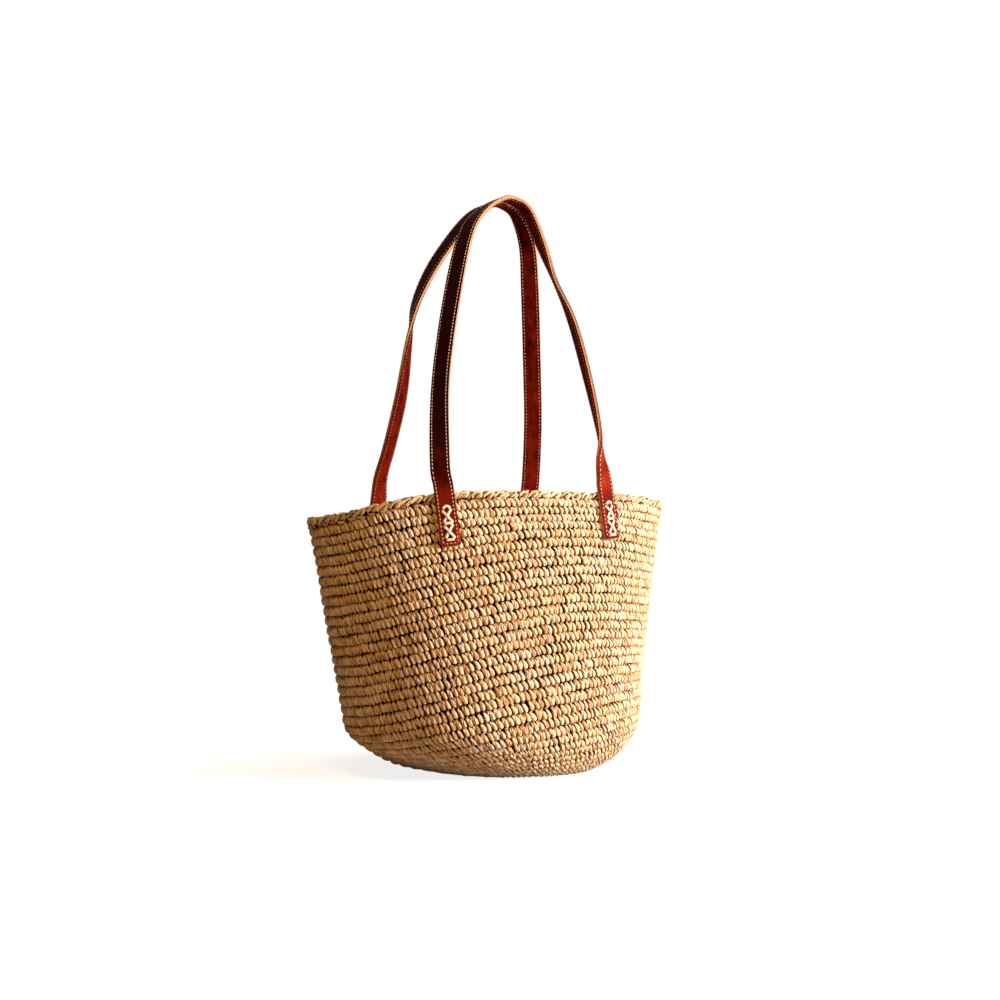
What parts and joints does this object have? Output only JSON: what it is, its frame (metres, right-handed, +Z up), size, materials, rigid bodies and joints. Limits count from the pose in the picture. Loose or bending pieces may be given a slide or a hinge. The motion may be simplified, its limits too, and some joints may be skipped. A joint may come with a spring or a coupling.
{
  "type": "round raffia bag",
  "caption": "Round open-top tote crocheted from natural raffia, with long double-layer leather handles laced to the outside of the wall by tabs.",
  "frame": {"origin": "middle of the flat underside that the bag stands on, in the middle of the whole part seen from above", "axes": "+Z up through the open mouth, X along the wide way of the mouth, +Y from the front handle to the back handle"},
  "size_m": [0.3391, 0.272, 0.534],
  "materials": {
    "raffia": "matte crocheted natural fibre",
    "leather": "smooth waxed leather, satin",
    "lining": "matte leather lining",
    "lacing_cord": "waxed cotton cord"
  },
  "bodies": {
    "bag": {"raffia_base": "raffia", "raffia_wall": "raffia", "raffia_rim": "raffia", "front_left_tab_outer": "leather", "front_right_tab_outer": "leather", "back_left_tab_outer": "leather", "back_right_tab_outer": "leather", "front_left_tab_lining": "lining", "front_right_tab_lining": "lining", "back_left_tab_lining": "lining", "back_right_tab_lining": "lining", "front_left_lacing": "lacing_cord", "front_right_lacing": "lacing_cord", "back_left_lacing": "lacing_cord", "back_right_lacing": "lacing_cord"},
    "front_handle": {"front_handle_outer": "leather", "front_handle_lining": "lining"},
    "back_handle": {"back_handle_outer": "leather", "back_handle_lining": "lining"}
  },
  "joints": [
    {"name": "front_handle_swing", "type": "hinge", "parent": "bag", "child": "front_handle", "pos_m": [0, -0.1083, 0.2582], "axis": [1, 0, 0], "range_deg": [0, 165]},
    {"name": "back_handle_swing", "type": "hinge", "parent": "bag", "child": "back_handle", "pos_m": [0, 0.1077, 0.2581], "axis": [-1, 0, 0], "range_deg": [0, 165]}
  ]
}
